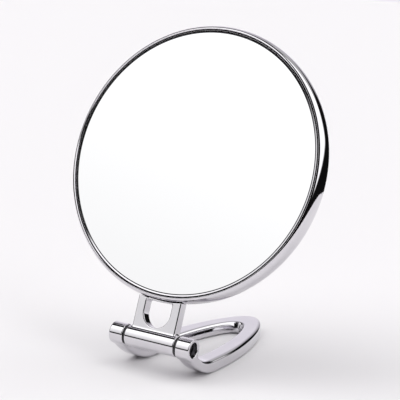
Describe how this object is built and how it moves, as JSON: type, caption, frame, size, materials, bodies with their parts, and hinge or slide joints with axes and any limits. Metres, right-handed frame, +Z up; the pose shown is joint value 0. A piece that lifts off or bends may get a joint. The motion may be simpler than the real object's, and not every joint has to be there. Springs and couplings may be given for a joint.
{
  "type": "countertop mirror",
  "caption": "Round double-sided chrome mirror that tilts on a barrel hinge above a hairpin stand, which is also its handle.",
  "frame": {"origin": "middle of the footprint on the table, under the rubber feet", "axes": "+Z up, +Y towards the tip of the hairpin stand, +X along the hinge; the front glass faces -Y and leans back"},
  "size_m": [0.1434, 0.113, 0.1728],
  "materials": {
    "chrome": "polished chrome plate",
    "mirror": "silvered glass",
    "board": "plain moulded board",
    "foam": "closed-cell foam",
    "nylon": "black nylon",
    "steel": "zinc-plated steel",
    "dark_steel": "black-oxide steel",
    "rubber": "soft rubber"
  },
  "bodies": {
    "stand": {"friction_washer_left": "nylon", "friction_washer_right": "nylon", "handle_loop": "chrome", "hinge_bolt": "dark_steel", "hinge_nut": "dark_steel", "spring_washer": "steel", "plain_washer": "steel", "foot_pad_front_left": "rubber", "foot_pad_front_right": "rubber", "foot_pad_rear": "rubber"},
    "head": {"rim_ring": "chrome", "front_bezel_ring": "chrome", "rear_bezel_ring": "chrome", "front_mirror_glass": "mirror", "rear_mirror_glass": "mirror", "core_plate": "board", "front_foam_pad": "foam", "rear_foam_ring": "foam", "neck_bracket": "chrome", "neck_screw_left": "steel", "neck_screw_right": "steel", "hinge_bush_left": "nylon", "hinge_bush_right": "nylon"}
  },
  "joints": [
    {"name": "head_tilt", "type": "hinge", "parent": "stand", "child": "head", "pos_m": [0, -0.05115, 0.0171], "axis": [1, 0, 0], "range_deg": [-71.8, 108.2]}
  ]
}
